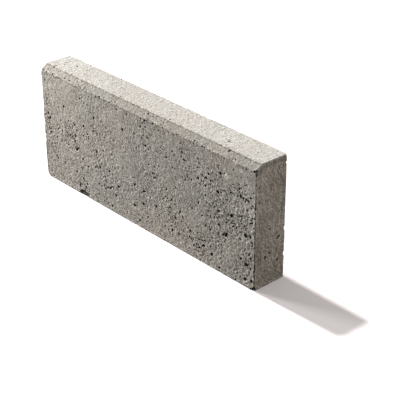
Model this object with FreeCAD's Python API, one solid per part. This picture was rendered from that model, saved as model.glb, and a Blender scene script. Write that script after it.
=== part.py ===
"""Straight concrete edging kerb, 500 x 200 x 60 mm, cast in one piece.

The kerb stands upright on its bed. +X runs along the kerb, the chamfered front faces -Y and +Z is
up. The origin is on the bed, below the middle of the block. All sizes are in millimetres.
"""

import FreeCAD
import Part
import os

# Block, in a size that such kerbs are sold in
LENGTH = 500.0
HEIGHT = 200.0
THICKNESS = 60.0

# Chamfer along the top of the front face, wider than it is deep
CHAMFER_RUN = 13.0  # over the top, back from the front face
CHAMFER_DROP = 8.0  # over the front, down from the top face

# No edge of a cast block is sharp: the mould and handling ease every one
ARRIS_RADIUS = 1.5

OUT_FOLDER = "parts"


def cross_section():
    """Sharp corners of the upright section as (y, z), from the front of the bed round to the front."""
    front = -THICKNESS / 2
    back = THICKNESS / 2
    return [
        (front, 0.0),
        (back, 0.0),
        (back, HEIGHT),
        (front + CHAMFER_RUN, HEIGHT),
        (front, HEIGHT - CHAMFER_DROP),
    ]


def sharp_block():
    """The section at the left end, drawn out along the kerb to the right end."""
    corners = [FreeCAD.Vector(-LENGTH / 2, y, z) for y, z in cross_section()]
    outline = Part.makePolygon(corners + corners[:1])
    return Part.Face(outline).extrude(FreeCAD.Vector(LENGTH, 0, 0))


def kerb():
    """The finished kerb, with the long edges and those round both ends eased alike."""
    block = sharp_block()
    return block.makeFillet(ARRIS_RADIUS, block.Edges)


def export(node, shape):
    """Writes one closed solid as parts/NODE.step."""
    if not (shape.isValid() and len(shape.Solids) == 1):
        raise ValueError(f"{node} is not one valid solid")
    shape.Solids[0].exportStep(f"{OUT_FOLDER}/{node}.step")


os.makedirs(OUT_FOLDER, exist_ok=True)
export("kerb", kerb())
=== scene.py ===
"""Concrete edging kerb with the surface that its mould and handling left on it.

The block, its chamfer and its eased arrises follow a rule, so Geometry Nodes make them, and sink the
pores, open crevices, drag marks and chips into them. The concrete is mixed from noise. Lengths are
in metres, apart from the tables of hollows, patches and lines, which are in millimetres.
"""

import logging
import math
from dataclasses import dataclass, field
from enum import Enum

import bpy
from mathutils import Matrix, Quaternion, Vector


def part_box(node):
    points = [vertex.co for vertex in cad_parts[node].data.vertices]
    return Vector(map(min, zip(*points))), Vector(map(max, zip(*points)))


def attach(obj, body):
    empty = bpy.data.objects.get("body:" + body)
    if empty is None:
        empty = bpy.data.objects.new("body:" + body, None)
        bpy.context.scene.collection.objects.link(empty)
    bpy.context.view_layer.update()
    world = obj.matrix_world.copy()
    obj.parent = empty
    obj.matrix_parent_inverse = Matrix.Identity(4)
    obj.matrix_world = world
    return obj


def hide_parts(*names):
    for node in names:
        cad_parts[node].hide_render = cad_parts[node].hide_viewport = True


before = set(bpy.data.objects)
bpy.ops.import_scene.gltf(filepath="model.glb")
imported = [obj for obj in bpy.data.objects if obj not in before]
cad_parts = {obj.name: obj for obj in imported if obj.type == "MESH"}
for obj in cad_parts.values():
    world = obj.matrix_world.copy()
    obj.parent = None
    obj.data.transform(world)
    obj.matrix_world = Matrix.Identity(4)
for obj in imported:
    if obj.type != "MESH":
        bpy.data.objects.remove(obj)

LOG = logging.getLogger("kerb")
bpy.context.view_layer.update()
MM = 0.001

Colour = tuple[float, float, float]
Spot = tuple[float, float, float]
Sockets = bpy.types.bpy_prop_collection


class Side(Enum):
    """A side of the block: the directions that it faces, that run along it and that run up it."""

    FRONT = ((0, -1, 0), (1, 0, 0), (0, 0, 1))
    BACK = ((0, 1, 0), (1, 0, 0), (0, 0, 1))
    TOP = ((0, 0, 1), (1, 0, 0), (0, 1, 0))
    LEFT_END = ((-1, 0, 0), (0, 1, 0), (0, 0, 1))
    RIGHT_END = ((1, 0, 0), (0, 1, 0), (0, 0, 1))


class Mask(Enum):
    """A number or a place kept on every point of the finished mesh, which the concrete reads."""

    HOLLOW = "hollow"
    BAND = "pressed_band"
    TOP = "top_face"
    END = "end_face"
    CHAMFER = "chamfer"
    ARRIS = "arris"
    DENSITY = "pore_density"
    OPENNESS = "openness"
    PLACE = "flat_place"


@dataclass(frozen=True)
class Hollow:
    """One hollow that shows by itself, from a blow hole to a chip. Lengths are in millimetres.

    Places are measured from the middle of the bed: along the block for the long sides, and across
    it for the ends.
    """

    side: Side
    along: float
    up: float
    radius: float
    depth: float
    stretch: float = 1.0
    slant: float = 0.0


def on_side(side: Side, *rows: tuple[float, ...]) -> tuple[Hollow, ...]:
    """Returns one side's hollows, from rows that follow the fields of Hollow."""
    return tuple(Hollow(side, *row) for row in rows)


BLOW_HOLES = (
    *on_side(Side.FRONT,
        (-192.5, 144.5, 2.3, 3.2, 1.15, 60), (-233.5, 110.5, 2.4, 3.8, 1.5, 65),
        (-164, 102.5, 2.3, 3.2, 1.3, 100), (-162.5, 78, 2.5, 3.8, 1.55, 25),
        (-165, 121, 1.9, 2.8, 1.4, 30), (-141.5, 127, 2, 2.8, 1.45, 35),
        (-114, 150.5, 2.4, 2.5, 1.1, 90), (-110, 93, 2.6, 3.2, 1.25, 20),
        (-110, 67, 1.9, 2.5, 1.1, 60), (-134.5, 57.5, 1.9, 2.8, 1.35, 30),
        (-148.5, 30.5, 1.9, 2.8, 1.25, 10), (-164.5, 37, 1.7, 3, 1.6, 95),
        (-56.5, 50.5, 2.6, 4, 1.25, 25), (-63.5, 32, 2.2, 2.2, 1.4, 50),
        (-76.5, 40.5, 1.8, 3, 1.7, 40), (-73.5, 9.5, 2.3, 2.8, 1.15, 60),
        (-16.5, 33.5, 2.3, 3.2, 1.6, 20), (-15, 70.5, 2.3, 3.2, 1.5, 40),
        (-4.5, 12, 2.3, 3.2, 1.3, 30), (-238.5, 143.5, 1.8, 2.8, 1.4, 80),
        (-215.5, 81.5, 1.9, 2.2, 1.4, 30), (-216.5, 43.5, 2, 2.5, 1.15, 50),
        (5, 44.5, 2.4, 3.5, 1.2, 30), (6.5, 67, 1.9, 2.8, 1.5, 30),
        (35, 52.5, 2.3, 3, 1.15, 40), (61, 145.5, 2, 3, 1.3, 90),
        (66.5, 63.5, 1.3, 2.2, 2.5, 20), (90.5, 65.5, 2.3, 3.5, 1.4, 45),
        (113.5, 42.5, 2.3, 2.8, 1.25, 60), (141.5, 28.5, 2.4, 3, 1.4, 40),
        (160, 22, 2.8, 4.2, 1.15, 80), (153.5, 152.5, 2, 3, 1.1, 90),
        (172.5, 130.5, 2.6, 3.8, 1.25, 20), (177.5, 162, 2.3, 3.2, 1.4, 130),
        (175, 78.5, 2.3, 3, 1.15, 40), (189.5, 67, 2.9, 3.8, 1.45, 20),
        (201, 103.5, 3.1, 4.8, 1.25, 50), (219.5, 142, 2.2, 4, 1.7, 110),
        (224.5, 140.5, 1.7, 3.2, 1.5, 50), (235, 140, 1.9, 3, 1.2, 30),
        (230, 83.5, 3, 4.5, 1.25, 110), (239, 84.5, 2.4, 3.8, 1.15, 60),
        (221.5, 42, 2.4, 3.5, 1.2, 20), (232.5, 36.5, 3, 4.2, 1.25, 20),
        (241.5, 49.5, 2.5, 3.8, 1.15, 60), (231, 12, 3, 4.2, 1.2, 30),
        (244.5, 14.5, 3, 4.2, 1.2, 40), (177.5, 7, 2.2, 3.2, 1.3, 30),
    ),
    *on_side(Side.BACK,
        (-205, 148, 2.6, 3.4, 1.3, 40), (-171, 62, 2.2, 3, 1.6, 15),
        (-128, 118, 1.9, 2.6, 1.2, 70), (-84, 34, 2.8, 3.8, 1.4, 25),
        (-31, 171, 2.1, 2.8, 1.3, 110), (12, 92, 2.4, 3.2, 1.8, 50),
        (63, 139, 1.8, 2.6, 1.2, 0), (104, 51, 2.7, 3.6, 1.5, 35),
        (152, 108, 2.2, 3, 1.3, 80), (196, 27, 2.5, 3.4, 1.2, 20),
        (221, 163, 2, 2.8, 1.7, 120),
    ),
    *on_side(Side.LEFT_END,
        (-14, 152, 2.2, 2, 1.3, 60), (9, 88, 1.8, 1.8, 1.9, 25),
        (-6, 41, 2.6, 2.2, 1.2, 10),
    ),
    *on_side(Side.RIGHT_END,
        (-8, 47, 3.2, 2.6, 1.15, 40), (17, 34, 2.4, 2, 1.1, 0),
        (18, 71, 1.9, 2.2, 2.6, 35), (-22, 141, 1.9, 1.8, 1.1, 0),
        (-9, 139, 1.8, 1.6, 1.15, 60),
    ),
)

CREVICES = (
    *on_side(Side.FRONT,
        (-166.5, 92, 1, 2.4, 3.2, 55), (-159, 81.5, 1.1, 2.6, 3, 30),
        (-143, 109.5, 1.4, 2.6, 1.8, 40), (-132.5, 115, 1.1, 2.2, 2.6, 30),
        (-115.5, 127.5, 1, 2.2, 4, 12), (-100, 127.5, 1.2, 2.6, 3, -30),
        (-88.5, 125, 1.1, 2.4, 2.8, 25), (-85.5, 135.5, 1, 2, 2.8, 45),
        (-232.5, 85.5, 1.1, 2.2, 3.4, 22), (-210.5, 99, 1.1, 2.2, 3, 10),
        (-131, 76.5, 1.2, 2.2, 2, 40), (-149, 49.5, 1.1, 2.4, 2.6, 75),
        (-106.5, 36.5, 1.1, 2.2, 2.6, 35), (-92.5, 41, 1.1, 2.6, 2.6, 75),
        (-85.5, 38.5, 1, 2.4, 2.8, 15), (-73, 43.5, 1, 2.4, 3.2, 35),
        (173.5, 173, 1.1, 2.2, 2.2, 80), (133.5, 162, 0.9, 1.8, 4, 12),
        (231, 164, 0.9, 2.2, 4, 45), (227.5, 166.5, 0.8, 2, 3.4, 130),
        (204.5, 155, 1, 2.2, 3, 25), (215.5, 152, 1.2, 2.4, 2.2, 50),
        (199, 140, 1.1, 2.2, 2.4, 30), (183.5, 117.5, 1.3, 2.4, 1.8, 60),
        (165, 103, 1, 2.2, 4.6, 50), (204.5, 107, 1.1, 3, 2.6, 45),
        (241, 107.5, 1.5, 2.8, 3.2, 30), (211, 87.5, 1.2, 2.4, 2.2, 60),
        (219, 84, 1.1, 2.4, 2.2, 60), (157, 84, 1.1, 2.2, 3, 85),
        (150.5, 82.5, 1, 2, 3, 20), (184.5, 66.5, 1.1, 2.6, 3, 10),
        (157, 63, 1.1, 2.2, 3, 60), (87.5, 60.5, 1, 2.2, 3, 45),
        (130, 46, 1.2, 2.8, 2.4, 80), (133.5, 36, 1, 2.4, 4, 25),
        (144, 38, 1, 2.4, 3.6, 30), (139.5, 27.5, 1.3, 2.6, 2.2, 60),
        (131, 21, 1.1, 2.2, 2.8, 10), (229, 59.5, 1.1, 2.8, 3.2, 80),
        (213.5, 21, 1.2, 2.4, 2.6, 70), (221, 11, 1.2, 2.4, 2.2, 40),
        (52, 72, 1, 2.2, 3.6, 25), (20, 118, 0.9, 2, 3.2, 20),
        (-22, 66, 1.1, 2.6, 3.4, 15),
    ),
)

CHIPS = (
    *on_side(Side.FRONT,
        (-146.5, 4, 4.3, 9, 3.1, -4), (249, 2, 4.2, 4.6, 1.2, 60),
        (-249, 190.5, 2.2, 1.4, 1.2, 80), (-249.5, 66, 2.2, 0.9, 2, 90),
        (-249.5, 96, 2, 0.8, 2.4, 90),
    ),
    *on_side(Side.RIGHT_END,
        (-30, 186, 2, 1.6, 1.5, 80), (30, 82, 2, 1.2, 2.4, 90),
        (30, 40, 2.2, 1.1, 1.8, 90),
    ),
    *on_side(Side.BACK,
        (-247, 2, 4, 3.6, 1.6, 40), (88, 199, 2.6, 2, 2.8, 0),
        (-139, 1.5, 3.4, 3, 2.4, 0),
    ),
    *on_side(Side.TOP,
        (-112, 29, 1.8, 1.4, 2, 10),
    ),
    *on_side(Side.LEFT_END,
        (29.5, 118, 2.2, 1.6, 2, 85),
    ),
)


@dataclass(frozen=True)
class WornCorner:
    """A corner that is rubbed rounder than the arrises. Lengths are in millimetres."""

    right: bool
    back: bool
    top: bool
    radius: float
    reach: float


WORN_CORNERS = (
    WornCorner(right=True, back=True, top=True, radius=3.0, reach=10.0),
    WornCorner(right=False, back=False, top=False, radius=4.5, reach=15.0),
)


@dataclass(frozen=True)
class Drift:
    """A patch round a point of the front, and how strongly it tells there. Lengths are in millimetres."""

    along: float
    up: float
    reach: float
    amount: float


DRIFTS = (
    Drift(-240, 95, 38, 0.6),
    Drift(-170, 100, 42, 0.55),
    Drift(-120, 115, 45, 0.35),
    Drift(-90, 75, 50, 0.25),
    Drift(-150, 12, 45, 0.5),
    Drift(-60, 45, 55, 0.4),
    Drift(25, 70, 70, 0.4),
    Drift(0, 170, 50, 0.2),
    Drift(90, 40, 60, 0.35),
    Drift(145, 30, 55, 0.55),
    Drift(110, 150, 50, 0.25),
    Drift(190, 105, 95, 0.6),
    Drift(225, 150, 60, 0.2),
    Drift(-225, 62, 40, 0.3),
    Drift(235, 60, 80, 0.7),
)

CALM_PATCHES = (
    Drift(-177, 170, 24, 0.9),
    Drift(-205, 160, 30, 0.6),
    Drift(-60, 165, 34, 0.4),
    Drift(129, 62, 24, 0.55),
    Drift(201, 174, 24, 0.8),
    Drift(80, 178, 26, 0.6),
    Drift(-35, 100, 30, 0.5),
    Drift(205, 45, 22, 0.5),
    Drift(236, 174, 30, 0.75),
)

PALE_AND_PAINTED_LIGHT_PATCHES = (
    # Painted light: this wide pale patch at the top left stands for more light there; the other patches are
    # tone
    Drift(-235, 195, 200, 0.12),
    Drift(-230, 50, 60, -0.08),
    Drift(-40, 112, 60, -0.07),
    Drift(70, 160, 80, -0.07),
    Drift(125, 90, 55, -0.07),
    Drift(200, 205, 45, -0.09),
    Drift(240, 130, 65, 0.13),
)


@dataclass(frozen=True)
class MouldLine:
    """A thin dark line that a joint of the mould left along the block. Lengths are in millimetres."""

    behind_front: float
    up: float
    half_width: float
    dark: float


MOULD_LINES = (
    MouldLine(behind_front=0.0, up=188.8, half_width=1.3, dark=0.36),
    MouldLine(behind_front=11.0, up=198.8, half_width=1.4, dark=0.6),
)


class Value:
    """A node's output that sums can be written with: each sign adds a node to the same tree."""

    def __init__(self, graph: "Graph", socket: bpy.types.NodeSocket) -> None:
        """Keeps the output and the graph that it belongs to."""
        self.graph = graph
        self.socket = socket

    def __add__(self, other: "Term") -> "Value":
        """Adds a number."""
        return self.graph.math("ADD", self, other)

    def __sub__(self, other: "Term") -> "Value":
        """Takes a number away."""
        return self.graph.math("SUBTRACT", self, other)

    def __rsub__(self, other: "Term") -> "Value":
        """Takes this away from a number."""
        return self.graph.math("SUBTRACT", other, self)

    def __mul__(self, other: "Term") -> "Value":
        """Multiplies by a number."""
        return self.graph.math("MULTIPLY", self, other)

    def __truediv__(self, other: "Term") -> "Value":
        """Divides by a number."""
        return self.graph.math("DIVIDE", self, other)

    def __abs__(self) -> "Value":
        """Drops the sign."""
        return self.graph.math("ABSOLUTE", self)


Term = Value | bpy.types.NodeSocket | float | int | tuple | str | None


@dataclass(frozen=True)
class Cloud:
    """Noise with lumps of one size, in metres, and the part of its range that is stretched out."""

    size: float
    low: float
    high: float
    detail: float = 2.0
    rough: float = 0.5


class Graph:
    """Places nodes in one tree, links them and hands back their outputs."""

    MIX_SOCKETS = {"FLOAT": (2, 3, 0), "VECTOR": (4, 5, 1), "RGBA": (6, 7, 2)}
    GRAIN_BEND = 0.8
    GRAIN_GAP = 1.3
    GRAIN_HEIGHTS = (0.7, 0.3)
    ROW = 12
    STEP = 190

    def __init__(self, tree: bpy.types.NodeTree) -> None:
        """Keeps the tree that every later call writes into."""
        self.tree = tree

    def add(self, kind: str, inputs: dict | None = None, **settings) -> bpy.types.Node:
        """Adds one node.

        Args:
            kind: Blender's name for the type of node.
            inputs: What goes into each socket, by name or number.
            settings: Values for the node's own options, which are set before its sockets are fed.

        Returns:
            The new node.
        """
        node = self.tree.nodes.new(kind)
        place = len(self.tree.nodes)
        node.location = (place // self.ROW * self.STEP, -(place % self.ROW) * self.STEP)
        for name, value in settings.items():
            setattr(node, name, value)
        for key, value in (inputs or {}).items():
            self.feed(node.inputs[key], value)
        return node

    def feed(self, socket: bpy.types.NodeSocket, value: Term) -> None:
        """Links an output to the socket, or writes a plain value into it.

        Args:
            socket: The input to fill.
            value: An output, or a plain value.
        """
        value = value.socket if isinstance(value, Value) else value
        if isinstance(value, bpy.types.NodeSocket):
            self.tree.links.new(value, socket)
        elif value is not None:
            socket.default_value = value

    def take(self, kind: str, inputs: dict | None = None, output: int | str = 0, **settings) -> Value:
        """Adds one node and returns one of its outputs."""
        return Value(self, self.add(kind, inputs, **settings).outputs[output])

    def math(self, operation: str, *terms: Term, clamp: bool = False) -> Value:
        """Returns the result of one sum on numbers."""
        return self.take("ShaderNodeMath", dict(enumerate(terms)), operation=operation, use_clamp=clamp)

    def most(self, *terms: Term) -> Value:
        """Compares some numbers.

        Args:
            terms: The numbers.

        Returns:
            The largest of them.
        """
        largest = terms[0]
        for term in terms[1:]:
            largest = self.math("MAXIMUM", largest, term)
        return largest

    def least(self, a: Term, b: Term) -> Value:
        """Returns the smaller of two numbers."""
        return self.math("MINIMUM", a, b)

    def vector(self, operation: str, *terms: Term) -> Value:
        """Returns the result of one sum on vectors, which is a number for a length or a dot product."""
        gives_number = operation in ("DOT_PRODUCT", "LENGTH", "DISTANCE")
        output = "Value" if gives_number else "Vector"
        return self.take("ShaderNodeVectorMath", dict(enumerate(terms)), output, operation=operation)

    def scale(self, vector: Term, factor: Term) -> Value:
        """Returns a vector made longer or a colour made brighter by a factor."""
        return self.take("ShaderNodeVectorMath", {0: vector, "Scale": factor}, operation="SCALE")

    def split(self, vector: Term) -> list[Value]:
        """Returns the x, y and z of a vector."""
        return [Value(self, part) for part in self.add("ShaderNodeSeparateXYZ", {0: vector}).outputs]

    def join(self, x: Term, y: Term, z: Term) -> Value:
        """Returns the vector with these parts."""
        return self.take("ShaderNodeCombineXYZ", {0: x, 1: y, 2: z})

    def mix(self, kind: str, factor: Term, a: Term, b: Term, blend: str = "MIX") -> Value:
        """Blends from a to b.

        Args:
            kind: FLOAT, VECTOR or RGBA.
            factor: 0 gives a, and 1 gives b.
            a: The first number, vector or colour.
            b: The second one.
            blend: How two colours are mixed.

        Returns:
            The blended value.
        """
        first, second, out = self.MIX_SOCKETS[kind]
        settings = {"data_type": kind}
        if kind == "RGBA":
            settings["blend_type"] = blend
        return self.take("ShaderNodeMix", {0: factor, first: a, second: b}, out, **settings)

    def span(self, value: Term, low: Term, high: Term, to_low: Term = 0.0, to_high: Term = 1.0) -> Value:
        """Returns the value moved smoothly from the range low to high onto another range."""
        inputs = {"Value": value, "From Min": low, "From Max": high, "To Min": to_low, "To Max": to_high}
        return self.take("ShaderNodeMapRange", inputs, interpolation_type="SMOOTHSTEP")

    def noise(self, at: Term, size: float, detail: float = 2.0, rough: float = 0.5) -> Value:
        """Returns clouds from 0 to 1 whose largest lumps are about this many metres across."""
        inputs = {"Vector": at, "Scale": 1 / size, "Detail": detail, "Roughness": rough}
        return self.take("ShaderNodeTexNoise", inputs)

    def cloud(self, at: Term, cloud: Cloud, to_low: Term = 0.0, to_high: Term = 1.0) -> Value:
        """Returns a cloud's value at a place, stretched onto the range from 0 to 1 or another one."""
        noise = self.noise(at, cloud.size, cloud.detail, cloud.rough)
        return self.span(noise, cloud.low, cloud.high, to_low, to_high)

    def bent(self, at: Term, scale: float, reach: float, detail: float = 2.0) -> Value:
        """Returns a place pushed about by noise.

        Args:
            at: The place.
            scale: How many lumps the noise has to a metre.
            reach: How far the noise pushes, from one end of its range to the other.
            detail: How many finer layers the noise has.

        Returns:
            The place after the push.
        """
        push = self.take("ShaderNodeTexNoise", {"Vector": at, "Scale": scale, "Detail": detail}, 1)
        return self.vector("ADD", at, self.scale(self.vector("SUBTRACT", push, (0.5, 0.5, 0.5)), reach))

    def cells(self, at: Term, size: float, feature: str = "F1") -> tuple[Value, list[Value]]:
        """Returns the distance in random cells about this many metres across, and three draws for each."""
        node = self.add("ShaderNodeTexVoronoi", {"Vector": at, "Scale": 1 / size}, feature=feature)
        drawn = self.split(node.outputs["Color"]) if feature == "F1" else []
        return Value(self, node.outputs["Distance"]), drawn

    def packed(self, at: Term, size: float) -> Value:
        """Packs uneven grains together.

        Args:
            at: Where the grains are looked up.
            size: About how large they are.

        Returns:
            The height of the grains there, from 0 to 1.
        """
        distance, drawn = self.cells(self.bent(at, 1 / size, self.GRAIN_BEND * size, 1.0), size)
        far = distance * self.GRAIN_GAP
        dome = self.math("SUBTRACT", 1.0, far * far, clamp=True)
        spread, lowest = self.GRAIN_HEIGHTS
        return dome * (drawn[0] * spread + lowest)

    def patches(self, at: Term, front: float, drifts: tuple[Drift, ...]) -> list[tuple[Value, Drift]]:
        """Measures from the middle of each patch of the front.

        Args:
            at: The place to measure from.
            front: The y of the front.
            drifts: The patches.

        Returns:
            The distance to each patch, with the patch.
        """
        distances = []
        for drift in drifts:
            middle = (drift.along * MM, front, drift.up * MM)
            distances.append((self.vector("DISTANCE", at, middle), drift))
        return distances

    def added(self, at: Term, front: float, drifts: tuple[Drift, ...], start: float) -> Value:
        """Adds up what each patch of the front gives a place.

        Args:
            at: The place.
            front: The y of the front.
            drifts: The patches.
            start: The number where no patch reaches.

        Returns:
            The number, which a patch raises most in its middle and not at all past its reach.
        """
        total = start
        for away, drift in self.patches(at, front, drifts):
            total = self.span(away, drift.reach * MM, 0.0, 0.0, drift.amount) + total
        return total


def open_sockets(tree: bpy.types.NodeTree, way: str, sockets: dict[str, str]) -> dict[str, str]:
    """Adds named sockets to a tree's interface.

    Args:
        tree: The tree.
        way: INPUT or OUTPUT.
        sockets: The kind of each socket, by its name, such as Float.

    Returns:
        The identifier of each socket, by its name.
    """
    made = {}
    for name, kind in sockets.items():
        socket = tree.interface.new_socket(name=name, in_out=way, socket_type=f"NodeSocket{kind}")
        made[name] = socket.identifier
    return made


def start_tree(
    name: str, kind: str, inputs: dict[str, str], outputs: dict[str, str]
) -> tuple[Graph, Sockets]:
    """Makes a new tree with its sockets.

    Args:
        name: The tree's name.
        kind: GeometryNodeTree or ShaderNodeTree.
        inputs: The kind of each input, by its name.
        outputs: The kind of each output, by its name.

    Returns:
        The tree's graph, and what its inputs give inside it.
    """
    tree = bpy.data.node_groups.new(name, kind)
    open_sockets(tree, "INPUT", inputs)
    open_sockets(tree, "OUTPUT", outputs)
    g = Graph(tree)
    return g, g.add("NodeGroupInput").outputs


@dataclass
class KerbShape:
    """The block's sizes, in metres: the section, its chamfer and its eased arrises."""

    length: float
    thickness: float
    height: float
    chamfer_run: float = 13 * MM
    chamfer_drop: float = 8 * MM
    arris_radius: float = 1.5 * MM

    @classmethod
    def from_frame(cls, node: str) -> "KerbShape":
        """Takes the overall sizes from the CAD block."""
        low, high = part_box(node)
        size = Vector(high) - Vector(low)
        return cls(length=size.x, thickness=size.y, height=size.z)

    @property
    def chamfer_width(self) -> float:
        """The sloping width of the chamfer."""
        return math.hypot(self.chamfer_run, self.chamfer_drop)

    @property
    def chamfer_normal(self) -> Vector:
        """The direction that the chamfer faces, forwards and up."""
        return Vector((0, -self.chamfer_drop, self.chamfer_run)) / self.chamfer_width

    @property
    def upper_line(self) -> float:
        """Where the chamfer meets the top, measured across the block."""
        return self.chamfer_run - self.thickness / 2

    @property
    def lower_line(self) -> float:
        """Where the chamfer meets the front, measured up the block."""
        return self.height - self.chamfer_drop

    @property
    def chamfer_reach(self) -> float:
        """How far the chamfer's plane lies from the origin, along its normal."""
        return self.chamfer_normal.dot(Vector((0, -self.thickness / 2, self.lower_line)))

    def spot(self, hollow: Hollow) -> Vector:
        """Finds where a hollow is centred.

        Args:
            hollow: The hollow.

        Returns:
            The point on the block's surface.
        """
        outward, along, up = (Vector(axis) for axis in hollow.side.value)
        middle = Vector((0, 0, self.height / 2))
        reach = Vector((self.length, self.thickness, self.height)) / 2
        face = outward * abs(outward.dot(reach)) + middle * abs(outward.z)
        return face + along * hollow.along * MM + up * hollow.up * MM

    def corner(self, worn: WornCorner) -> Vector:
        """Finds the corner that was worn.

        Args:
            worn: The worn corner.

        Returns:
            The sharp corner of the block that it stands for.
        """
        return Vector((
            self.length / 2 if worn.right else -self.length / 2,
            self.thickness / 2 if worn.back else -self.thickness / 2,
            self.height if worn.top else 0.0,
        ))


class InsetBlock:
    """A node group that finds the nearest point of the block made smaller all round by one inset."""

    def __init__(self, shape: KerbShape) -> None:
        """Builds the group for one block.

        Args:
            shape: The block's sizes.
        """
        self.shape = shape
        inputs = {"Point": "Vector", "Inset": "Float"}
        outputs = {"Nearest": "Vector", "Outward": "Vector", "Distance": "Float"}
        g, given = start_tree("inset_block", "GeometryNodeTree", inputs, outputs)
        self.tree = g.tree
        self.write(g, given)

    def write(self, g: Graph, given: Sockets) -> None:
        """Writes the group's nodes.

        Args:
            g: The graph that the nodes go into.
            given: What the group's inputs give inside it.
        """
        shape, inset = self.shape, Value(g, given["Inset"])
        x, y, z = g.split(given["Point"])
        boxed = g.join(
            self.clamp(g, x, -shape.length / 2, shape.length / 2, inset),
            self.clamp(g, y, -shape.thickness / 2, shape.thickness / 2, inset),
            self.clamp(g, z, 0.0, shape.height, inset),
        )
        normal = tuple(shape.chamfer_normal)
        past = g.most(g.vector("DOT_PRODUCT", boxed, normal) - shape.chamfer_reach + inset, 0.0)
        nearest = g.vector("SUBTRACT", boxed, g.scale(normal, past))
        offset = g.vector("SUBTRACT", given["Point"], nearest)
        g.add("NodeGroupOutput", {
            "Nearest": nearest,
            "Outward": g.vector("NORMALIZE", offset),
            "Distance": g.vector("LENGTH", offset),
        })

    @staticmethod
    def clamp(g: Graph, value: Value, low: float, high: float, inset: Value) -> Value:
        """Keeps a coordinate at least one inset away from both ends of its range."""
        return g.least(g.most(value, inset + low), high - inset)

    def place(self, g: Graph, point: Term, inset: Term) -> Sockets:
        """Places the group in another tree and returns its outputs."""
        inputs = {"Point": point, "Inset": inset}
        return g.add("GeometryNodeGroup", inputs, node_tree=self.tree).outputs


class SandSkin:
    """The rough skin of the cast block, which the mesh and the concrete's shading both follow."""

    LUMP = Cloud(9.0 * MM, 0.25, 0.75, 2.0, 0.6)
    STONE = 4.6 * MM
    GRIT = 2.6 * MM
    SHARES = (0.2, 0.45, 0.35)

    @classmethod
    def height(cls, g: Graph, place: Term) -> Value:
        """Returns how high the skin stands at a place, from 0 in the gaps to about 1 on the grains."""
        lump_share, stone_share, grit_share = cls.SHARES
        coarse = g.cloud(place, cls.LUMP) * lump_share + g.packed(place, cls.STONE) * stone_share
        return coarse + g.packed(place, cls.GRIT) * grit_share


@dataclass(frozen=True)
class PoreSize:
    """One size of pore: how many there are, how large and how deep. Lengths are in millimetres."""

    name: str
    seed: int
    per_square_metre: float
    apart: float
    radius: tuple[float, float]
    depth: tuple[float, float]
    stretch: tuple[float, float]
    ragged: float


PORE_SIZES = (
    PoreSize("blow_holes", 11, 1300, 8.0, (1.5, 2.5), (1.8, 3.4), (1.0, 1.8), 0.9),
    PoreSize("pits", 23, 15000, 3.6, (1.0, 1.8), (1.2, 2.6), (1.0, 2.0), 0.8),
    PoreSize("pinholes", 37, 36000, 2.2, (0.55, 0.9), (0.6, 1.1), (1.0, 1.8), 0.4),
)


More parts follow.
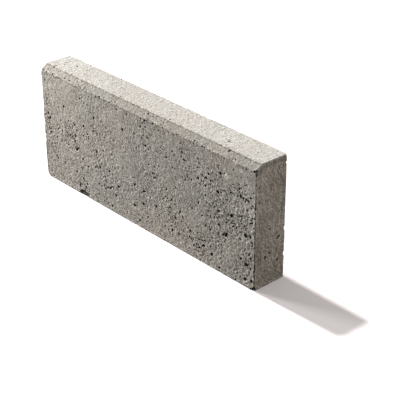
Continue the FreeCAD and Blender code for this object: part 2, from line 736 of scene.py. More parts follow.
class KerbSurface:
    """The node tree that makes the block and sinks its relief into it.

    A value of four numbers holds the two ends of a range and what they are moved onto. A wander is
    the size of the lumps that push a place about, and how far they push it.
    """

    # Arrises, and the insets and reaches that are measured from them
    ARRIS_WAVE = Cloud(26 * MM, 0.3, 0.7)
    ARRIS_TONES = (0.45, 1.0)
    UPPER_ARRIS = 0.35
    UPPER_ARRIS_REACH = (2 * MM, 5 * MM)
    MASK_INSET = 1.2 * MM
    SMOOTH_DIRECTION = 8 * MM
    ARRIS_REACH = 4.0 * MM

    # How squarely a point faces a side where the side's mask starts, and where it is full
    FACING = {
        "front": (-0.9, -0.98),
        "back": (0.9, 0.98),
        "top": (0.93, 0.985),
        "bed": (-0.9, -0.98),
        "chamfer": (0.95, 0.99),
        "end": (0.8, 0.95),
    }

    # How thick the pores lie and how rough the skin is, on the front and on the other sides
    PORES_EVERYWHERE = 0.2
    PATCH_WANDER = (20 * MM, 24 * MM)
    PATCH_CORE = 0.5
    CLOUD = Cloud(40 * MM, 0.36, 0.62, 3.0, 0.6)
    CLOUD_TONES = (0.3, 1.1)
    RIPPLE = Cloud(22 * MM, 0.35, 0.65, 3.0, 0.6)
    RIPPLE_TONES = (0.75, 1.25)
    OPEN_DRIFTS = (0.1, 1.0)
    OPEN_RANGE = (0.7, 1.7)
    HIDDEN_OPENNESS = (0.6, 1.0)
    END_OPENNESS = 0.7
    CHAMFER_CLOSED = 0.25
    HIDDEN_PATCH = Cloud(85 * MM, 0.36, 0.64)
    HIDDEN_PORES = (0.08, 0.32)
    SEEN_PORES = (2.4, 0.6)
    TOP_PORES = 0.1

    # Rows of pores along both lines of the chamfer
    BELOW_LOWER_LINE = 1.5 * MM
    LOWER_LINE_PORES = (4.5 * MM, 1.5 * MM, 0.0, 0.6)
    BEHIND_FRONT = (6 * MM, 2 * MM)
    BEHIND_UPPER_LINE = 0.5 * MM
    UPPER_LINE_PORES = (2 * MM, 0.5 * MM, 0.0, 0.12)
    UNDER_TOP = (10 * MM, 2 * MM)

    # Hollows, with the cone that the shader cuts off to draw their rims
    SEED = 5
    GRAIN_SEED = 7
    RIM_LUMP = 2.6 * MM
    RIM_TO_FLOOR = (1.0, 0.5)
    KNOWN_RAGGED = 0.8
    FAINTEST = 0.5
    STEEPEST = 2.0
    STEEP_DEPTHS = (0.4 * MM, 3.0 * MM)

    # The band that the press left, measured down from the top
    BAND_WAVE = 12 * MM
    BAND_SWAY = 4 * MM
    BAND_TOP = (3 * MM, 5 * MM)
    BAND_FOOT = (13 * MM, 10.5 * MM)
    BAND_VOIDS = 0.1

    # Gaps where the mix did not close
    VOID_LUMP = 4.4 * MM
    VOID_DETAIL = (3.0, 0.62)
    VOID_LEVELS = (0.0, 1.2, 0.74, 0.6)
    VOID_STEEPNESS = 18.0
    VOID_DEPTHS = (0.0, 0.05, 0.0, 1.9 * MM)
    VOID_EDGE = 6 * MM
    VOID_AT_EDGE = (0.0, 0.8, 1.0, 0.35)

    # Crevices between stones
    STONE = 7 * MM
    SEAM_WANDER = (9 * MM, 8 * MM)
    SEAM_WIDTH = 0.085
    SEAM_PATCH = Cloud(14 * MM, 0.52, 0.66, 3.0, 0.6)
    BACK_CREVICES = 0.5
    CREVICE_DEPTH = 1.0 * MM

    # Crumbs missing along the arrises
    NIBBLE_REACH = 3.0 * MM
    TOP_ARRIS = (1.5 * MM, 3.5 * MM)
    TOP_CRUMBS = 0.35
    WORN_REACH = (16 * MM, 40 * MM)
    WORN_CRUMBS = 0.4
    CRUMB = (6 * MM, 3.0, 0.6)
    CRUMB_LEVEL = 0.58
    CRUMB_STEEPNESS = 18.0
    CRUMB_DEPTHS = (0.56, 0.7, 0.0, 0.4 * MM)
    COARSE_CRUMB = Cloud(24 * MM, 0.64, 0.75)
    COARSE_CRUMB_DEPTH = 0.3 * MM
    CONE_TOP = 0.9
    OFF_ARRIS = 2.0
    LINE_REACH = 1.7 * MM
    UPPER_LINE_CRUMBS = (3 * MM, 1 * MM, 0.0, 0.85)
    DASH = 3.6 * MM
    DASH_LEVEL = 0.5
    DASH_STEEPNESS = 12.0
    DASH_TOP = 0.6

    # The sway, sand and drag marks of the skin
    SWAY = 110 * MM
    SWAY_DEPTH = 0.4 * MM
    SKIN_DEPTH = 1.3 * MM
    CALM_EDGE = 5 * MM
    CALM_TOP = 0.6
    CALM_SKIN = 0.3
    DRAG = 3.4 * MM
    DRAG_PATCH = Cloud(45 * MM, 0.48, 0.62)
    DRAG_FAINTEST = 0.1
    DRAG_STRETCH = (1.0, 1.0, 0.06)
    DRAG_DEPTH = 0.3 * MM
    SKIN_LIFT = 0.45 * MM
    BED_SKIN = 0.4

    SIZES = {
        "Length": "length",
        "Thickness": "thickness",
        "Height": "height",
        "Chamfer Run": "chamfer_run",
        "Chamfer Drop": "chamfer_drop",
        "Arris Radius": "arris_radius",
    }

    def __init__(self, shape: KerbShape, mesh_step: float) -> None:
        """Builds the tree.

        Args:
            shape: The block's sizes.
            mesh_step: How far apart the points of the fine mesh are.
        """
        self.shape = shape
        self.inset = InsetBlock(shape)
        self.tree = bpy.data.node_groups.new("kerb_surface", "GeometryNodeTree")
        self.tree.is_modifier = True
        kinds = {"Hollows": "Geometry", **dict.fromkeys(self.SIZES, "Float")}
        kinds |= {"Mesh Step": "Float", "Seed": "Int", "Concrete": "Material"}
        self.sockets = open_sockets(self.tree, "INPUT", kinds)
        open_sockets(self.tree, "OUTPUT", {"Block": "Geometry"})
        self.values = {name: getattr(shape, size) for name, size in self.SIZES.items()}
        self.values |= {"Mesh Step": mesh_step, "Seed": self.SEED}
        self.write(Graph(self.tree))

    def write(self, g: Graph) -> None:
        """Writes the tree's nodes, from the plain block to the finished surface.

        Args:
            g: The graph that the nodes go into.
        """
        self.g = g
        self.given = g.add("NodeGroupInput").outputs
        self.position = g.take("GeometryNodeInputPosition")
        block = self.eased_block()
        self.smooth = self.inset.place(g, self.position, self.SMOOTH_DIRECTION)
        _, self.y, self.z = g.split(self.position)
        self.faces = self.face_masks()
        self.seen = g.most(self.faces["top"], g.most(self.faces["end"], self.faces["chamfer"]))
        self.thick, self.calm = self.drifts()
        self.openness = self.skin_openness()
        self.density = self.pore_density()
        known = g.take("GeometryNodeMeshToPoints", {"Mesh": self.given["Hollows"]})
        relief = [self.sunk_by(known, self.KNOWN_RAGGED)]
        relief += [self.sunk_by(self.pores(block, size), size.ragged) for size in PORE_SIZES]
        relief += [(self.crevices(), -1.0), self.voids(), self.nibbles()]
        depth = g.most(*(sunk for sunk, _ in relief)) + self.skin()
        marks = {
            Mask.HOLLOW: g.most(*(cone for _, cone in relief)),
            Mask.BAND: self.pressed_band(),
            Mask.TOP: self.faces["top"],
            Mask.END: self.faces["end"],
            Mask.CHAMFER: self.faces["chamfer"],
            Mask.ARRIS: self.edge_nearness(self.ARRIS_REACH),
            Mask.DENSITY: self.density,
            Mask.OPENNESS: self.openness,
        }
        for mask, value in marks.items():
            block = self.keep(block, mask.value, value)
        block = self.keep(block, Mask.PLACE.value, self.position, "FLOAT_VECTOR")
        inward = g.scale(self.smooth["Outward"], depth * -1.0)
        block = g.take("GeometryNodeSetPosition", {"Geometry": block, "Offset": inward})
        block = g.take("GeometryNodeRealizeInstances", {0: block})
        block = g.take("GeometryNodeSetShadeSmooth", {0: block})
        dressed = g.take("GeometryNodeSetMaterial", {"Geometry": block, "Material": self.given["Concrete"]})
        g.add("NodeGroupOutput", {"Block": dressed})

    def keep(self, geometry: Term, name: str, value: Term, kind: str = "FLOAT") -> Value:
        """Writes a number or a vector onto every point of a geometry, under a name."""
        inputs = {"Geometry": geometry, "Name": name, "Value": value}
        return self.g.take("GeometryNodeStoreNamedAttribute", inputs, data_type=kind, domain="POINT")

    def eased_block(self) -> Value:
        """Makes a fine box and moves its points onto the chamfered section with eased arrises.

        Returns:
            The block.
        """
        g = self.g
        names = ("Chamfer Run", "Chamfer Drop", "Length", "Thickness", "Height", "Mesh Step")
        run, drop, length, thickness, height, step = (Value(g, self.given[name]) for name in names)
        slope = g.math("SQRT", run * run + drop * drop)
        shoulder = height - drop
        path = shoulder + slope
        box = g.take("GeometryNodeMeshCube", {
            "Size": g.join(length, thickness, path),
            "Vertices X": length / step + 1.0,
            "Vertices Y": thickness / step + 1.0,
            "Vertices Z": path / step + 1.0,
        })
        x, y, z = g.split(self.position)
        up = z + path * 0.5
        past = g.most(up - shoulder, 0.0) / slope
        half = thickness * 0.5
        across = (y + half) / thickness
        leaning = g.mix("FLOAT", across, past * run - half, half)
        sharp = g.join(x, leaning, g.least(up, shoulder) + past * drop)
        radius = self.arris_radius(sharp)
        eased = self.inset.place(g, sharp, radius)
        moved = g.vector("ADD", eased["Nearest"], g.scale(eased["Outward"], radius))
        return g.take("GeometryNodeSetPosition", {"Geometry": box, "Position": moved})

    def arris_radius(self, at: Term) -> Value:
        """Works out how round the arris near a point is.

        Args:
            at: The point.

        Returns:
            The radius, which is uneven and larger at the worn corners.
        """
        g = self.g
        wave = g.cloud(at, self.ARRIS_WAVE, *self.ARRIS_TONES)
        radius = wave * self.given["Arris Radius"]
        upper_line = (0.0, self.shape.upper_line, self.shape.height)
        off_line = g.vector("MULTIPLY", g.vector("SUBTRACT", at, upper_line), (0.0, 1.0, 1.0))
        off_line = g.vector("LENGTH", off_line)
        radius = radius * g.span(off_line, *self.UPPER_ARRIS_REACH, self.UPPER_ARRIS, 1.0)
        for worn in WORN_CORNERS:
            away = g.vector("DISTANCE", at, tuple(self.shape.corner(worn)))
            radius = g.most(radius, g.span(away, 0.0, worn.reach * MM, worn.radius * MM, 0.0))
        return radius

    def face_masks(self) -> dict[str, Value]:
        """Works out which side each point belongs to.

        Returns:
            How much it belongs to each side, from 0 to 1, by the side's name.
        """
        g = self.g
        outward = self.inset.place(g, self.position, self.MASK_INSET)["Outward"]
        out_x, out_y, out_z = g.split(outward)
        chamfer = g.vector("DOT_PRODUCT", outward, tuple(self.shape.chamfer_normal))
        turned = {"front": out_y, "back": out_y, "top": out_z, "bed": out_z}
        turned |= {"chamfer": chamfer, "end": abs(out_x)}
        return {side: g.span(facing, *self.FACING[side]) for side, facing in turned.items()}

    def edge_nearness(self, reach: float) -> Value:
        """Measures how near the arrises are.

        Args:
            reach: How far from them the number falls to 0.

        Returns:
            1 on the arrises, and 0 past the reach.
        """
        inset = self.SMOOTH_DIRECTION
        far = math.hypot(inset, inset - reach)
        sharp = math.hypot(inset, inset) - (math.sqrt(2) - 1) * self.shape.arris_radius
        return self.g.span(self.smooth["Distance"], far, sharp)

    def drifts(self) -> tuple[Value, Value]:
        """Works out the drifts of pores and the calm patches of the front.

        Returns:
            How thick the drifts lie, and how far the calm patches let them show.
        """
        g, front = self.g, -self.shape.thickness / 2
        thick = g.added(self.position, front, DRIFTS, self.PORES_EVERYWHERE)
        wandered = g.bent(self.position, 1 / self.PATCH_WANDER[0], self.PATCH_WANDER[1])
        calm = 1.0
        for away, patch in g.patches(wandered, front, CALM_PATCHES):
            reach = patch.reach * MM
            calm = g.span(away, reach, reach * self.PATCH_CORE, 1.0, 1.0 - patch.amount) * calm
        return thick, calm

    def skin_openness(self) -> Value:
        """Works out how open the sandy skin is.

        Returns:
            1 as cast, more in the drifts and less where it is calm.
        """
        g, faces = self.g, self.faces
        ripple = g.cloud(self.position, self.RIPPLE, *self.RIPPLE_TONES)
        front = ripple * self.calm * g.span(self.thick, *self.OPEN_DRIFTS, *self.OPEN_RANGE)
        plain = g.span(self.seen, 0.0, 1.0, *self.HIDDEN_OPENNESS) + faces["end"] * self.END_OPENNESS
        return g.mix("FLOAT", faces["front"], plain - faces["chamfer"] * self.CHAMFER_CLOSED, front)

    def pore_density(self) -> Value:
        """Works out how thick the pores lie.

        Returns:
            A number from 0 to 1: high in the drifts of the front, low on the other sides.
        """
        g, faces = self.g, self.faces
        cloud = g.cloud(self.position, self.CLOUD, *self.CLOUD_TONES)
        front = cloud * self.calm * g.least(self.thick, 1.0)
        patchy = g.cloud(self.position, self.HIDDEN_PATCH, *self.HIDDEN_PORES)
        other = cloud * patchy * g.span(self.seen, 0.0, 1.0, *self.SEEN_PORES)
        other = other * g.span(faces["top"], 0.0, 1.0, 1.0, self.TOP_PORES)
        spread = g.mix("FLOAT", faces["front"], other, front)
        below_line = self.shape.lower_line - self.BELOW_LOWER_LINE
        behind_line = self.shape.upper_line + self.BEHIND_UPPER_LINE
        lower_line = g.span(abs(self.z - below_line), *self.LOWER_LINE_PORES)
        upper_line = g.span(abs(self.y - behind_line), *self.UPPER_LINE_PORES)
        at_front = g.span(self.y, *(depth - self.shape.thickness / 2 for depth in self.BEHIND_FRONT))
        lines = g.most(lower_line * at_front, upper_line * self.from_top(self.UNDER_TOP))
        return g.most(spread, lines)

    def from_top(self, depths: tuple[float, float], lowest: float = 0.0) -> Value:
        """Returns a number that goes from its lowest, at one depth under the top, to 1 at another."""
        return self.g.span(self.z, *(self.shape.height - depth for depth in depths), lowest, 1.0)

    def pressed_band(self) -> Value:
        """Draws the dark, rough band that the press left on both ends, just under the top.

        Returns:
            1 in the band, and 0 off it.
        """
        g = self.g
        over_chamfer = g.vector("DOT_PRODUCT", self.position, tuple(self.shape.chamfer_normal))
        under = g.least(self.shape.height - self.z, self.shape.chamfer_reach - over_chamfer)
        under = under + g.noise(self.position, self.BAND_WAVE) * self.BAND_SWAY
        band = g.span(under, *self.BAND_TOP) * g.span(under, *self.BAND_FOOT)
        return band * self.faces["end"]

    def voids(self) -> tuple[Value, Value]:
        """Opens the ragged gaps where the dry mix did not close.

        Returns:
            Their depth and their cone.
        """
        g = self.g
        level = g.span(self.density, *self.VOID_LEVELS) - self.pressed_band() * self.BAND_VOIDS
        over = g.noise(self.position, self.VOID_LUMP, *self.VOID_DETAIL) - level
        cone = g.least(over * self.VOID_STEEPNESS, 1.0)
        held = g.span(self.edge_nearness(self.VOID_EDGE), *self.VOID_AT_EDGE)
        return g.span(over, *self.VOID_DEPTHS) * held, cone

    def pores(self, block: Term, size: PoreSize) -> Value:
        """Scatters one size of pore over the block.

        Args:
            block: The eased block.
            size: The pores' number, spacing and sizes.

        Returns:
            The pores' centres, with their size, depth, stretch and grain.
        """
        g = self.g
        seed = Value(g, self.given["Seed"]) + size.seed
        scattered = g.take("GeometryNodeDistributePointsOnFaces", {
            "Mesh": block,
            "Distance Min": size.apart * MM,
            "Density Max": size.per_square_metre,
            "Density Factor": self.density,
            "Seed": seed,
        }, "Points", distribute_method="POISSON", label=size.name)
        ranges = {
            "size": [part * MM for part in size.radius],
            "depth": [part * MM for part in size.depth],
            "stretch": size.stretch,
        }
        drawn = {}
        for place, (name, (low, high)) in enumerate(ranges.items()):
            inputs = {2: low, 3: high, "Seed": place}
            drawn[name] = g.take("FunctionNodeRandomValue", inputs, 1, data_type="FLOAT")
        for name, value in drawn.items():
            scattered = self.keep(scattered, name, value)
        inputs = {0: (-1, -1, -1), 1: (1, 1, 1), "Seed": self.GRAIN_SEED}
        grain = g.take("FunctionNodeRandomValue", inputs, data_type="FLOAT_VECTOR")
        return self.keep(scattered, "grain", grain, "FLOAT_VECTOR")

    def sunk_by(self, points: Term, ragged: float) -> tuple[Value, Value]:
        """Works out how far a set of hollows sinks each point of the block.

        Args:
            points: The hollows' centres, with their size, depth, stretch and grain.
            ragged: How uneven their rims are, in millimetres.

        Returns:
            The depth at each point of the block, and a cone that is 0 on the rims and 1 or more inside.
        """
        g = self.g
        index = g.take("GeometryNodeSampleNearest", {0: points, 1: self.position})
        here = g.bent(self.position, 1 / self.RIM_LUMP, ragged * 2 * MM)
        numbers = ("size", "depth", "stretch")
        radius, deep, stretch = (self.of_nearest(points, index, name) for name in numbers)
        grain = g.vector("NORMALIZE", self.of_nearest(points, index, "grain", "FLOAT_VECTOR"))
        centre = g.take("GeometryNodeInputPosition")
        away = g.vector("SUBTRACT", here, self.at_nearest(points, index, centre, "FLOAT_VECTOR"))
        straight = g.vector("DOT_PRODUCT", away, grain)
        lengthwise = straight / stretch
        across = g.most(g.vector("DOT_PRODUCT", away, away) - straight * straight, 0.0)
        rim = g.math("SQRT", across + lengthwise * lengthwise) / radius
        inside = g.most(1.0 - rim, -1.0)
        cone = inside * (g.span(deep, *self.STEEP_DEPTHS) * self.STEEPEST + self.FAINTEST)
        return deep * g.span(rim, *self.RIM_TO_FLOOR), cone

    def of_nearest(self, points: Term, index: Term, name: str, kind: str = "FLOAT") -> Value:
        """Reads the value with this name of the hollow with this index."""
        value = self.g.take("GeometryNodeInputNamedAttribute", {"Name": name}, data_type=kind)
        return self.at_nearest(points, index, value, kind)

    def at_nearest(self, points: Term, index: Term, value: Term, kind: str) -> Value:
        """Works a value out at the hollow with this index."""
        inputs = {"Geometry": points, "Value": value, "Index": index}
        return self.g.take("GeometryNodeSampleIndex", inputs, data_type=kind, domain="POINT")

    def crevices(self) -> Value:
        """Opens the gaps between stones that the dry mix left in places on the moulded faces.

        Returns:
            Their depth.
        """
        g, faces = self.g, self.faces
        here = g.bent(self.position, 1 / self.SEAM_WANDER[0], self.SEAM_WANDER[1])
        seam = g.span(g.cells(here, self.STONE, "DISTANCE_TO_EDGE")[0], self.SEAM_WIDTH, 0.0)
        open_here = g.cloud(self.position, self.SEAM_PATCH)
        moulded = g.most(faces["front"], faces["back"] * self.BACK_CREVICES)
        return seam * open_here * (moulded * self.density) * self.CREVICE_DEPTH

    def nibbles(self) -> tuple[Value, Value]:
        """Breaks crumbs out of the arrises.

        Returns:
            Their depth and their cone.
        """
        g = self.g
        below_top = self.from_top(self.TOP_ARRIS, self.TOP_CRUMBS)
        from_worn = g.vector("DISTANCE", self.position, tuple(self.shape.corner(WORN_CORNERS[1])))
        sound = g.span(from_worn, *self.WORN_REACH, self.WORN_CRUMBS, 1.0)
        near = self.edge_nearness(self.NIBBLE_REACH) * below_top * sound
        crumbs = g.noise(self.position, *self.CRUMB)
        gap = g.least((crumbs - self.CRUMB_LEVEL) * self.CRUMB_STEEPNESS, self.CONE_TOP)
        gap = gap - (1.0 - near) * self.OFF_ARRIS
        fine = g.span(crumbs, *self.CRUMB_DEPTHS)
        coarse = g.cloud(self.position, self.COARSE_CRUMB, 0.0, self.COARSE_CRUMB_DEPTH)
        return near * (fine + coarse), g.most(gap, self.crumbled_line())

    def crumbled_line(self) -> Value:
        """Breaks the fine crumbs along the arrises, whose cone the concrete paints as a broken line of
        painted shade.

        Returns:
            Their cone.
        """
        g = self.g
        below_top = self.from_top(self.TOP_ARRIS)
        upper_line = g.span(abs(self.y - self.shape.upper_line), *self.UPPER_LINE_CRUMBS)
        held = self.edge_nearness(self.LINE_REACH) * g.most(below_top, upper_line)
        dashes = (g.noise(self.position, self.DASH) - self.DASH_LEVEL) * self.DASH_STEEPNESS
        return g.least(dashes, self.DASH_TOP) - (1.0 - held) * self.OFF_ARRIS

    def skin(self) -> Value:
        """Works out the slight unevenness of the whole surface.

        Returns:
            How far a long sway, sandy lumps and drag marks sink each point.
        """
        g, faces = self.g, self.faces
        sway = g.noise(self.position, self.SWAY, 1.0) * self.SWAY_DEPTH
        calm = g.most(self.edge_nearness(self.CALM_EDGE), faces["top"] * self.CALM_TOP)
        rough = self.openness * g.span(calm, 0.0, 1.0, 1.0, self.CALM_SKIN)
        grains = (1.0 - SandSkin.height(g, self.position)) * rough * self.SKIN_DEPTH
        upright = g.most(faces["front"], g.most(faces["end"], faces["back"]))
        streaked = upright * g.cloud(self.position, self.DRAG_PATCH, self.DRAG_FAINTEST, 1.0)
        drawn_out = g.vector("MULTIPLY", self.position, self.DRAG_STRETCH)
        drag = g.noise(drawn_out, self.DRAG) * streaked * self.DRAG_DEPTH
        total = g.most(sway + (grains + drag) - self.SKIN_LIFT, 0.0)
        return total * g.span(faces["bed"], 0.0, 1.0, 1.0, self.BED_SKIN)


@dataclass(frozen=True)
class ConcreteFinish:
    """How one side's concrete looks: its colours, in linear light, and how strongly they vary."""

    pale: Colour
    dark: Colour
    blotch: float
    speckle: float
    streak: float


MOULDED = ConcreteFinish((0.453, 0.416, 0.367), (0.351, 0.319, 0.278), 0.5, 1.0, 0.12)
CHAMFERED = ConcreteFinish((0.416, 0.381, 0.335), (0.310, 0.281, 0.245), 0.6, 0.72, 0.0)
# The struck top is paler than the moulded sides: partly its finish, partly painted light from above
STRUCK_TOP_WITH_PAINTED_LIGHT = ConcreteFinish((0.634, 0.599, 0.548), (0.501, 0.472, 0.429), 0.6, 0.6, 0.0)
END_FACE = ConcreteFinish((0.508, 0.441, 0.370), (0.215, 0.180, 0.145), 1.0, 1.2, 0.3)


class CastConcrete:
    """The concrete of the kerb: cement paste with sand in it, with shade painted near black into its
    hollows.

    A value of four numbers holds the two ends of a range and what they are moved onto.
    """

    # Colours, in linear light, and tones that a colour is multiplied by
    # Near-black painted shade for the pores, crevices, voids and crumbs; the pressed band on the ends is
    # darkened with it too
    HOLLOW_SHADE_AND_BAND_COLOUR = (0.035, 0.03, 0.026)
    # Pale colour for wear on the rubbed arrises, and a painted highlight on the rims of the hollows
    RUBBED_AND_RIM_HIGHLIGHT_COLOUR = (0.56, 0.525, 0.475)
    COOL_TINT = (0.982, 1.004, 1.012, 1)
    WARM_TINT = (1.016, 0.996, 0.986, 1)
    # Painted shade in the low spots of the sandy skin, and a painted highlight on its grains
    SKIN_SHADE_AND_HIGHLIGHT_TONES = (0.88, 1.08)
    PASTE_TONES = (0.58, 1.42)
    # Painted light: the paste is up to 1.25 times paler where pores lie thick, making up for the shade of
    # the rough relief there
    PASTE_PAINTED_LIGHT = 1.25
    # Painted light: the chamfer is paler at its left end and darker from a little left of the middle, as if
    # lit more from the left
    CHAMFER_PAINTED_FALLOFF = (1.02, 0.92)
    # Painted shade: the left end's colour is cut to 0.78 to hold back the fill lamp's light on it; the
    # right end keeps 1
    LEFT_END_PAINTED_SHADE = (0.78, 1.0)

    # Sizes of the clouds and grains, and what shows how strongly
    BLOTCH = Cloud(70 * MM, 0.3, 0.7, 4.0, 0.6)
    MOTTLE = Cloud(9 * MM, 0.3, 0.7, 4.0, 0.72)
    MOTTLE_SHARE = 0.4
    STREAK = Cloud(3.2 * MM, 0.3, 0.7)
    STREAK_STRETCH = (1.0, 1.0, 0.05)
    TINT = Cloud(90 * MM, 0.35, 0.65, 3.0)
    COARSE_SAND = (4.0 * MM, 0.35, 1.4)
    FINE_SAND = (2.7 * MM, 0.4, 1.4)
    SAND_RADII = (0.3, 0.22)
    SAND_CORE = 0.7
    PASTE = Cloud(2.0 * MM, 0.27, 0.73, 3.0, 0.75)
    SKIN_HEIGHTS = (0.15, 0.75)
    CHAMFER_FADE = (-170 * MM, -40 * MM)
    LINE_BREAKS = Cloud(10 * MM, 0.36, 0.6, 4.0, 0.7)
    LINE_FAINTEST = 0.1
    LINE_CORE = 0.3

    # Relief that is too fine for the mesh
    FINE_GRAIN = 1.4 * MM
    PASTE_GRAIN = (2.4 * MM, 4.0, 0.7)
    GRIT_SHARES = (0.48, 0.05, 0.42)
    GRIT_DEPTH = 3.1 * MM
    WALL = (0.0, 0.5, 0.0, 1.6)
    FINE_PORES = ((6.0 * MM, 1.4), (4.0 * MM, 1.0))
    FINE_BEND = (1.6, 0.8)
    FINE_SHARES = (0.02, 0.7, 0.06, 0.9)
    FINE_SHARE_EDGE = 0.05
    FINE_RADII = (0.2, 0.17)
    FINE_SHALLOWEST = 0.5

    # Hollows, with painted shade inside them and a painted highlight on their rims
    FINE_PORE_PAINTED_SHADE = 0.85
    END_PORE_PAINTED_SHADE_SHARE = 0.72
    DEEP_PAINTED_SHADE = (0.08, 0.5, 0.0, 0.97)
    BAND_DARK = 0.35
    HIGHLIGHT_RIM_OUTSIDE = (-0.55, -0.15)
    HIGHLIGHT_RIM_INSIDE = (0.1, -0.05, 0.0, 0.8)
    HIGHLIGHT_RIM_AT_ARRIS = (0.0, 0.5, 1.0, 0.15)
    PASTE_OFF_ARRIS = (0.0, 0.4, 1.0, 0.0)
    RUB = Cloud(7 * MM, 0.4, 0.65, 3.0)
    RUB_PALE = 0.06
    ROUGHNESS_CLOUD = Cloud(18 * MM, 0.3, 0.7, 3.0)
    ROUGHNESS = (0.78, 0.95)
    SHINE = 0.25

    def __init__(self, shape: KerbShape) -> None:
        """Builds the shared groups and the material.

        Args:
            shape: The block's sizes, which place the mould's lines and the pale patches, of which one is
                painted light.
        """
        self.shape = shape
        self.tone = self.tone_group()
        self.grit = self.grit_group()
        self.material = bpy.data.materials.new("cast_concrete")
        self.material.use_nodes = True
        self.material.node_tree.nodes.clear()
        self.write(Graph(self.material.node_tree))

    def tone_group(self) -> bpy.types.NodeTree:
        """Builds the group that mixes one side's colour from blotches, sand grains and streaks, with
        painted shade in the skin's low spots and a painted highlight on its grains.

        Returns:
            The group.
        """
        inputs = {"Place": "Vector", "Pale": "Color", "Dark": "Color"}
        inputs |= dict.fromkeys(("Blotch", "Speckle", "Streak", "Skin"), "Float")
        g, given = start_tree("paste_and_sand", "ShaderNodeTree", inputs, {"Color": "Color"})
        place = given["Place"]
        blotch, mottle = g.cloud(place, self.BLOTCH), g.cloud(place, self.MOTTLE)
        blend = g.mix("FLOAT", self.MOTTLE_SHARE, blotch, mottle)
        blend = g.mix("FLOAT", given["Blotch"], 0.5, blend)
        drawn_out = g.vector("MULTIPLY", place, self.STREAK_STRETCH)
        streaky = (g.cloud(drawn_out, self.STREAK) - 0.5) * given["Streak"]
        base = g.mix("RGBA", g.math("ADD", blend, streaky, clamp=True), given["Dark"], given["Pale"])
        tint = g.mix("RGBA", g.cloud(place, self.TINT), self.COOL_TINT, self.WARM_TINT)
        base = g.mix("RGBA", 1.0, base, tint, "MULTIPLY")
        sand = self.grains(g, place, *self.COARSE_SAND) * self.grains(g, place, *self.FINE_SAND)
        paste = g.cloud(place, self.PASTE, *self.PASTE_TONES)
        # Painted shade and highlight: the skin's low spots are darkened and its grains made paler
        tone = sand * paste * g.span(given["Skin"], *self.SKIN_HEIGHTS, *self.SKIN_SHADE_AND_HIGHLIGHT_TONES)
        tone = g.mix("FLOAT", given["Speckle"], 1.0, tone)
        g.add("NodeGroupOutput", {"Color": g.scale(base, tone)})
        return g.tree

    def grains(self, g: Graph, place: Term, size: float, dark: float, pale: float) -> Value:
        """Sets sand grains of one size in the paste.

        Args:
            g: The graph that the nodes go into.
            place: Where on the block a point lies.
            size: About how far apart the grains are.
            dark: The darkest grain's tone.
            pale: The palest grain's tone.

        Returns:
            The tone: each grain's own, or 1 in the paste between them.
        """
        distance, drawn = g.cells(place, size)
        spread, smallest = self.SAND_RADII
        edge = drawn[1] * spread + smallest
        inside = g.span(distance, edge, edge * self.SAND_CORE)
        return g.mix("FLOAT", inside, 1.0, g.span(drawn[0], 0.0, 1.0, dark, pale))

    def grit_group(self) -> bpy.types.NodeTree:
        """Builds the group that gives the height of the sand and paste too fine for the mesh.

        Returns:
            The group.
        """
        inputs = {"Place": "Vector", "Density": "Float", "Cone": "Float"}
        outputs = dict.fromkeys(("Height", "Skin", "Hole"), "Float")
        g, given = start_tree("grit_height", "ShaderNodeTree", inputs, outputs)
        place = given["Place"]
        skin = SandSkin.height(g, place)
        skin_share, fine_share, paste_share = self.GRIT_SHARES
        height = skin * skin_share + g.packed(place, self.FINE_GRAIN) * fine_share
        height = height + g.noise(place, *self.PASTE_GRAIN) * paste_share
        height = height - g.span(given["Cone"], *self.WALL)
        hole = 0.0
        for size, depth in self.FINE_PORES:
            bowl = self.fine_pores(g, place, size, given["Density"])
            height = height - bowl * depth
            hole = g.most(hole, bowl * min(depth, 1.0))
        g.add("NodeGroupOutput", {"Height": height, "Skin": skin, "Hole": hole})
        return g.tree

    def fine_pores(self, g: Graph, place: Term, size: float, density: Term) -> Value:
        """Sinks pores that are too small for the mesh, one to some of the cells.

        Args:
            g: The graph that the nodes go into.
            place: Where on the block a point lies.
            size: About how far apart the cells are.
            density: How thick the pores lie there.

        Returns:
            The pores' depth, from 0 to 1.
        """
        lumps, reach = self.FINE_BEND
        distance, drawn = g.cells(g.bent(place, lumps / size, reach * size), size)
        there = g.span(g.span(density, *self.FINE_SHARES) - drawn[0], 0.0, self.FINE_SHARE_EDGE)
        spread, smallest = self.FINE_RADII
        bowl = g.span(distance / (drawn[1] * spread + smallest), 1.0, 0.5)
        return bowl * (there * g.span(drawn[2], 0.0, 1.0, self.FINE_SHALLOWEST, 1.0))

    def lines(self, g: Graph, place: Term) -> Value:
        """Draws the mould's broken lines.

        Args:
            g: The graph that the nodes go into.
            place: Where on the block a point lies.

        Returns:
            How dark they are there, from 0 to 1.
        """
        broken = g.cloud(place, self.LINE_BREAKS, self.LINE_FAINTEST, 1.0)
        dark = 0.0
        for line in MOULD_LINES:
            centre = (0.0, line.behind_front * MM - self.shape.thickness / 2, line.up * MM)
            flat = g.vector("MULTIPLY", g.vector("SUBTRACT", place, centre), (0.0, 1.0, 1.0))
            half = line.half_width * MM
            near = g.span(g.vector("LENGTH", flat), half, half * self.LINE_CORE, 0.0, line.dark)
            dark = g.most(near, dark)
        return dark * broken

    def side_colour(self, g: Graph, place: Term, skin: Term, finish: ConcreteFinish) -> Value:
        """Places the tone group with one finish's values.

        Args:
            g: The graph that the nodes go into.
            place: Where on the block a point lies.
            skin: How high the sandy skin stands there.
            finish: The finish.

        Returns:
            The colour.
        """
        inputs = {
            "Place": place,
            "Skin": skin,
            "Pale": (*finish.pale, 1),
            "Dark": (*finish.dark, 1),
            "Blotch": finish.blotch,
            "Speckle": finish.speckle,
            "Streak": finish.streak,
        }
        return g.take("ShaderNodeGroup", inputs, "Color", node_tree=self.tone)

